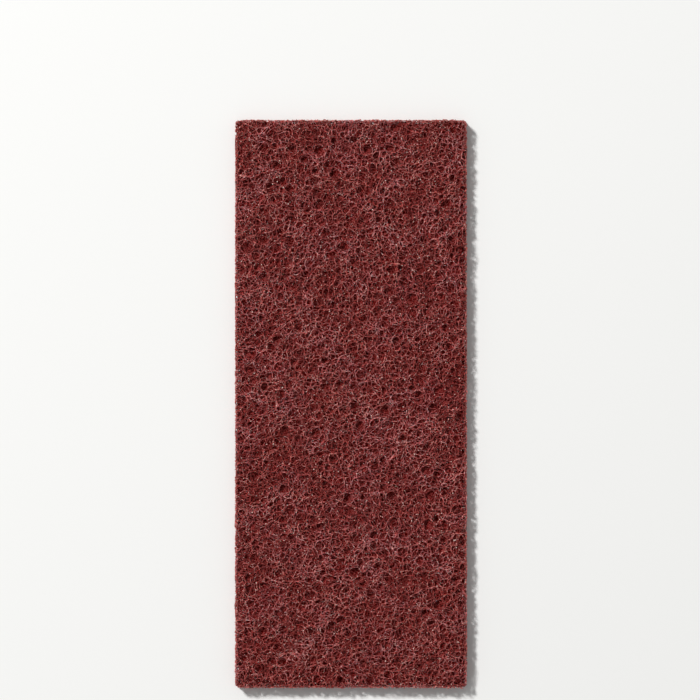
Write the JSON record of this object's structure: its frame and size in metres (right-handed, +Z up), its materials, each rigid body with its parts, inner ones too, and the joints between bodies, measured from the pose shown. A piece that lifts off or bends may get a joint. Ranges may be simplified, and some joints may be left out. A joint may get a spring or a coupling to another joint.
{
  "type": "scuff pad",
  "caption": "Flat rectangular pad of open, non-woven abrasive fibre, held in the hand or under a block to scuff, clean and blend surfaces.",
  "frame": {"origin": "middle of the underside, on the surface that the pad lies on", "axes": "+X across the pad, +Y along its length, +Z up through its thickness"},
  "size_m": [0.114, 0.279, 0.008],
  "materials": {
    "abrasive_web": "matt maroon nylon fibres, bonded by resin with fine abrasive grain"
  },
  "bodies": {
    "root": {"pad": "abrasive_web"}
  },
  "joints": []
}
